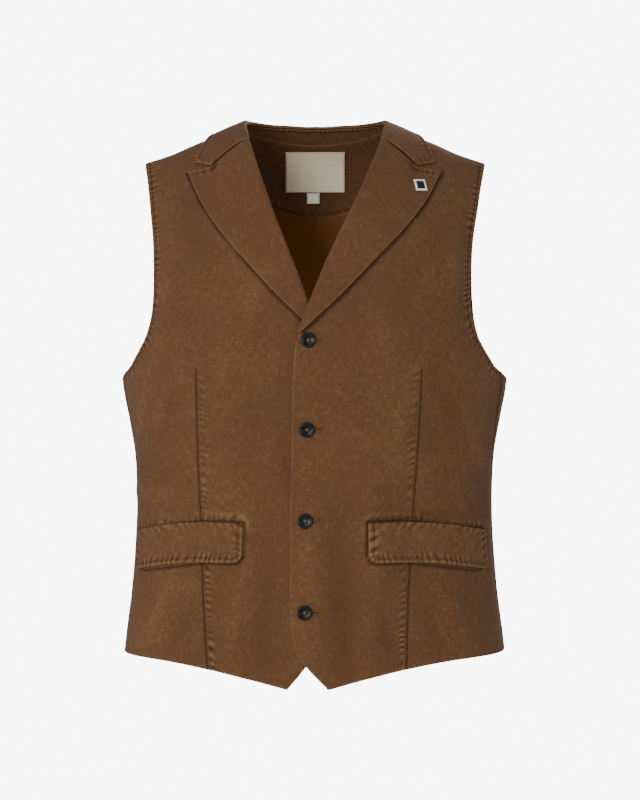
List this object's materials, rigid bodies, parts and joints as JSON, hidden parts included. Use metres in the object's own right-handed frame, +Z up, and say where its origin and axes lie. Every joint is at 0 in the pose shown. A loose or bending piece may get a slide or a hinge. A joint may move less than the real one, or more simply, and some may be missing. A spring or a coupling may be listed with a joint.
{
  "type": "suit waistcoat",
  "caption": "Single-breasted waistcoat with peak lapels, a button front, pocket flaps and a pointed hem, filled out as if worn.",
  "frame": {"origin": "midway between the middles of the two shoulder seams, where the garment hangs from the shoulders", "axes": "+Z up along the garment's length, the closure faces -Y, the wearer's left side is at +X"},
  "size_m": [0.421, 0.2366, 0.6168],
  "materials": {
    "cloth": "washed matt plain weave",
    "facing": "washed matt plain weave",
    "lining": "soft sheen",
    "button": "polished, slightly mottled",
    "label": "matt woven",
    "pin_enamel": "gloss enamel",
    "pin_inlay": "satin"
  },
  "bodies": {
    "root": {"front_left": "cloth", "front_right": "cloth", "back_left": "cloth", "back_right": "cloth", "lapel_left": "cloth", "lapel_right": "cloth", "flap_left": "cloth", "flap_right": "cloth", "collar": "cloth", "collar_stand": "facing", "neck_facing": "facing", "lining_left": "lining", "lining_right": "lining", "neck_label": "label", "size_tag": "label", "button_1": "button", "button_2": "button", "button_3": "button", "button_4": "button", "pin_frame": "pin_enamel", "pin_inlay": "pin_inlay"}
  },
  "joints": []
}
